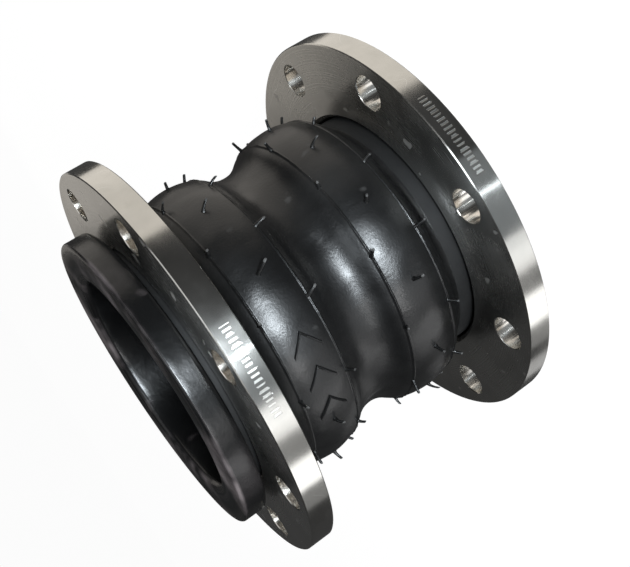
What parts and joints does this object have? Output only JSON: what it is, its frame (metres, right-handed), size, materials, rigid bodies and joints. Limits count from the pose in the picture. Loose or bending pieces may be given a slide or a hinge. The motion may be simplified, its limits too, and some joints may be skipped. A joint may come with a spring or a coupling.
{
  "type": "rubber expansion joint",
  "caption": "Rubber bellows with two round arches between loose steel ring flanges, for joining pipes that move, tilt or stretch.",
  "frame": {"origin": "centre of the lower sealing face, end B", "axes": "+Z along the bellows axis from end B up to end A; the bolt holes straddle +X and +Y; the arches tilt about Y"},
  "size_m": [0.28, 0.28, 0.225],
  "materials": {
    "stainless": "lathe turned",
    "cover_rubber": "semi-gloss moulded",
    "liner_rubber": "matt with bloom",
    "filler_rubber": "matt",
    "cord_plies": "rubberised cord",
    "steel_wire": "drawn wire"
  },
  "bodies": {
    "collar_b": {"cover_collar_b": "cover_rubber", "plies_collar_b": "cord_plies", "liner_collar_b": "liner_rubber", "bead_filler_b": "filler_rubber", "bead_wires_b": "steel_wire"},
    "loose_flange_b": {"flange_b": "stainless"},
    "arch_b": {"cover_arch_b": "cover_rubber", "plies_arch_b": "cord_plies", "liner_arch_b": "liner_rubber"},
    "waist": {"cover_waist": "cover_rubber", "plies_waist": "cord_plies", "liner_waist": "liner_rubber", "root_ring": "steel_wire"},
    "arch_a": {"cover_arch_a": "cover_rubber", "plies_arch_a": "cord_plies", "liner_arch_a": "liner_rubber"},
    "collar_a": {"cover_collar_a": "cover_rubber", "plies_collar_a": "cord_plies", "liner_collar_a": "liner_rubber", "bead_filler_a": "filler_rubber", "bead_wires_a": "steel_wire"},
    "loose_flange_a": {"flange_a": "stainless"}
  },
  "joints": [
    {"name": "flange_b_swivel", "type": "hinge", "parent": "collar_b", "child": "loose_flange_b", "pos_m": [0, 0, 0.0173], "axis": [0, 0, 1], "continuous": true},
    {"name": "arch_b_tilt", "type": "hinge", "parent": "collar_b", "child": "arch_b", "pos_m": [0, 0, 0.0565], "axis": [0, 1, 0], "range_deg": [-15, 15], "stiffness_Nm_per_rad": 700, "deforming": ["cover_arch_b", "plies_arch_b", "liner_arch_b"]},
    {"name": "arch_b_squeeze", "type": "slide", "parent": "arch_b", "child": "waist", "axis": [0, 0, 1], "range_m": [-0.025, 0.0175], "stiffness_N_per_m": 120000, "deforming": ["cover_waist", "plies_waist", "liner_waist"]},
    {"name": "arch_a_squeeze", "type": "slide", "parent": "waist", "child": "arch_a", "axis": [0, 0, 1], "range_m": [-0.025, 0.0175], "stiffness_N_per_m": 120000, "deforming": ["cover_arch_a", "plies_arch_a", "liner_arch_a"]},
    {"name": "arch_a_tilt", "type": "hinge", "parent": "arch_a", "child": "collar_a", "pos_m": [0, 0, 0.1685], "axis": [0, -1, 0], "range_deg": [-15, 15], "stiffness_Nm_per_rad": 700},
    {"name": "flange_a_swivel", "type": "hinge", "parent": "collar_a", "child": "loose_flange_a", "pos_m": [0, 0, 0.1866], "axis": [0, 0, 1], "continuous": true}
  ],
  "couplings": [
    {"joint": "arch_a_squeeze", "follows": "arch_b_squeeze", "ratio": 1}
  ]
}
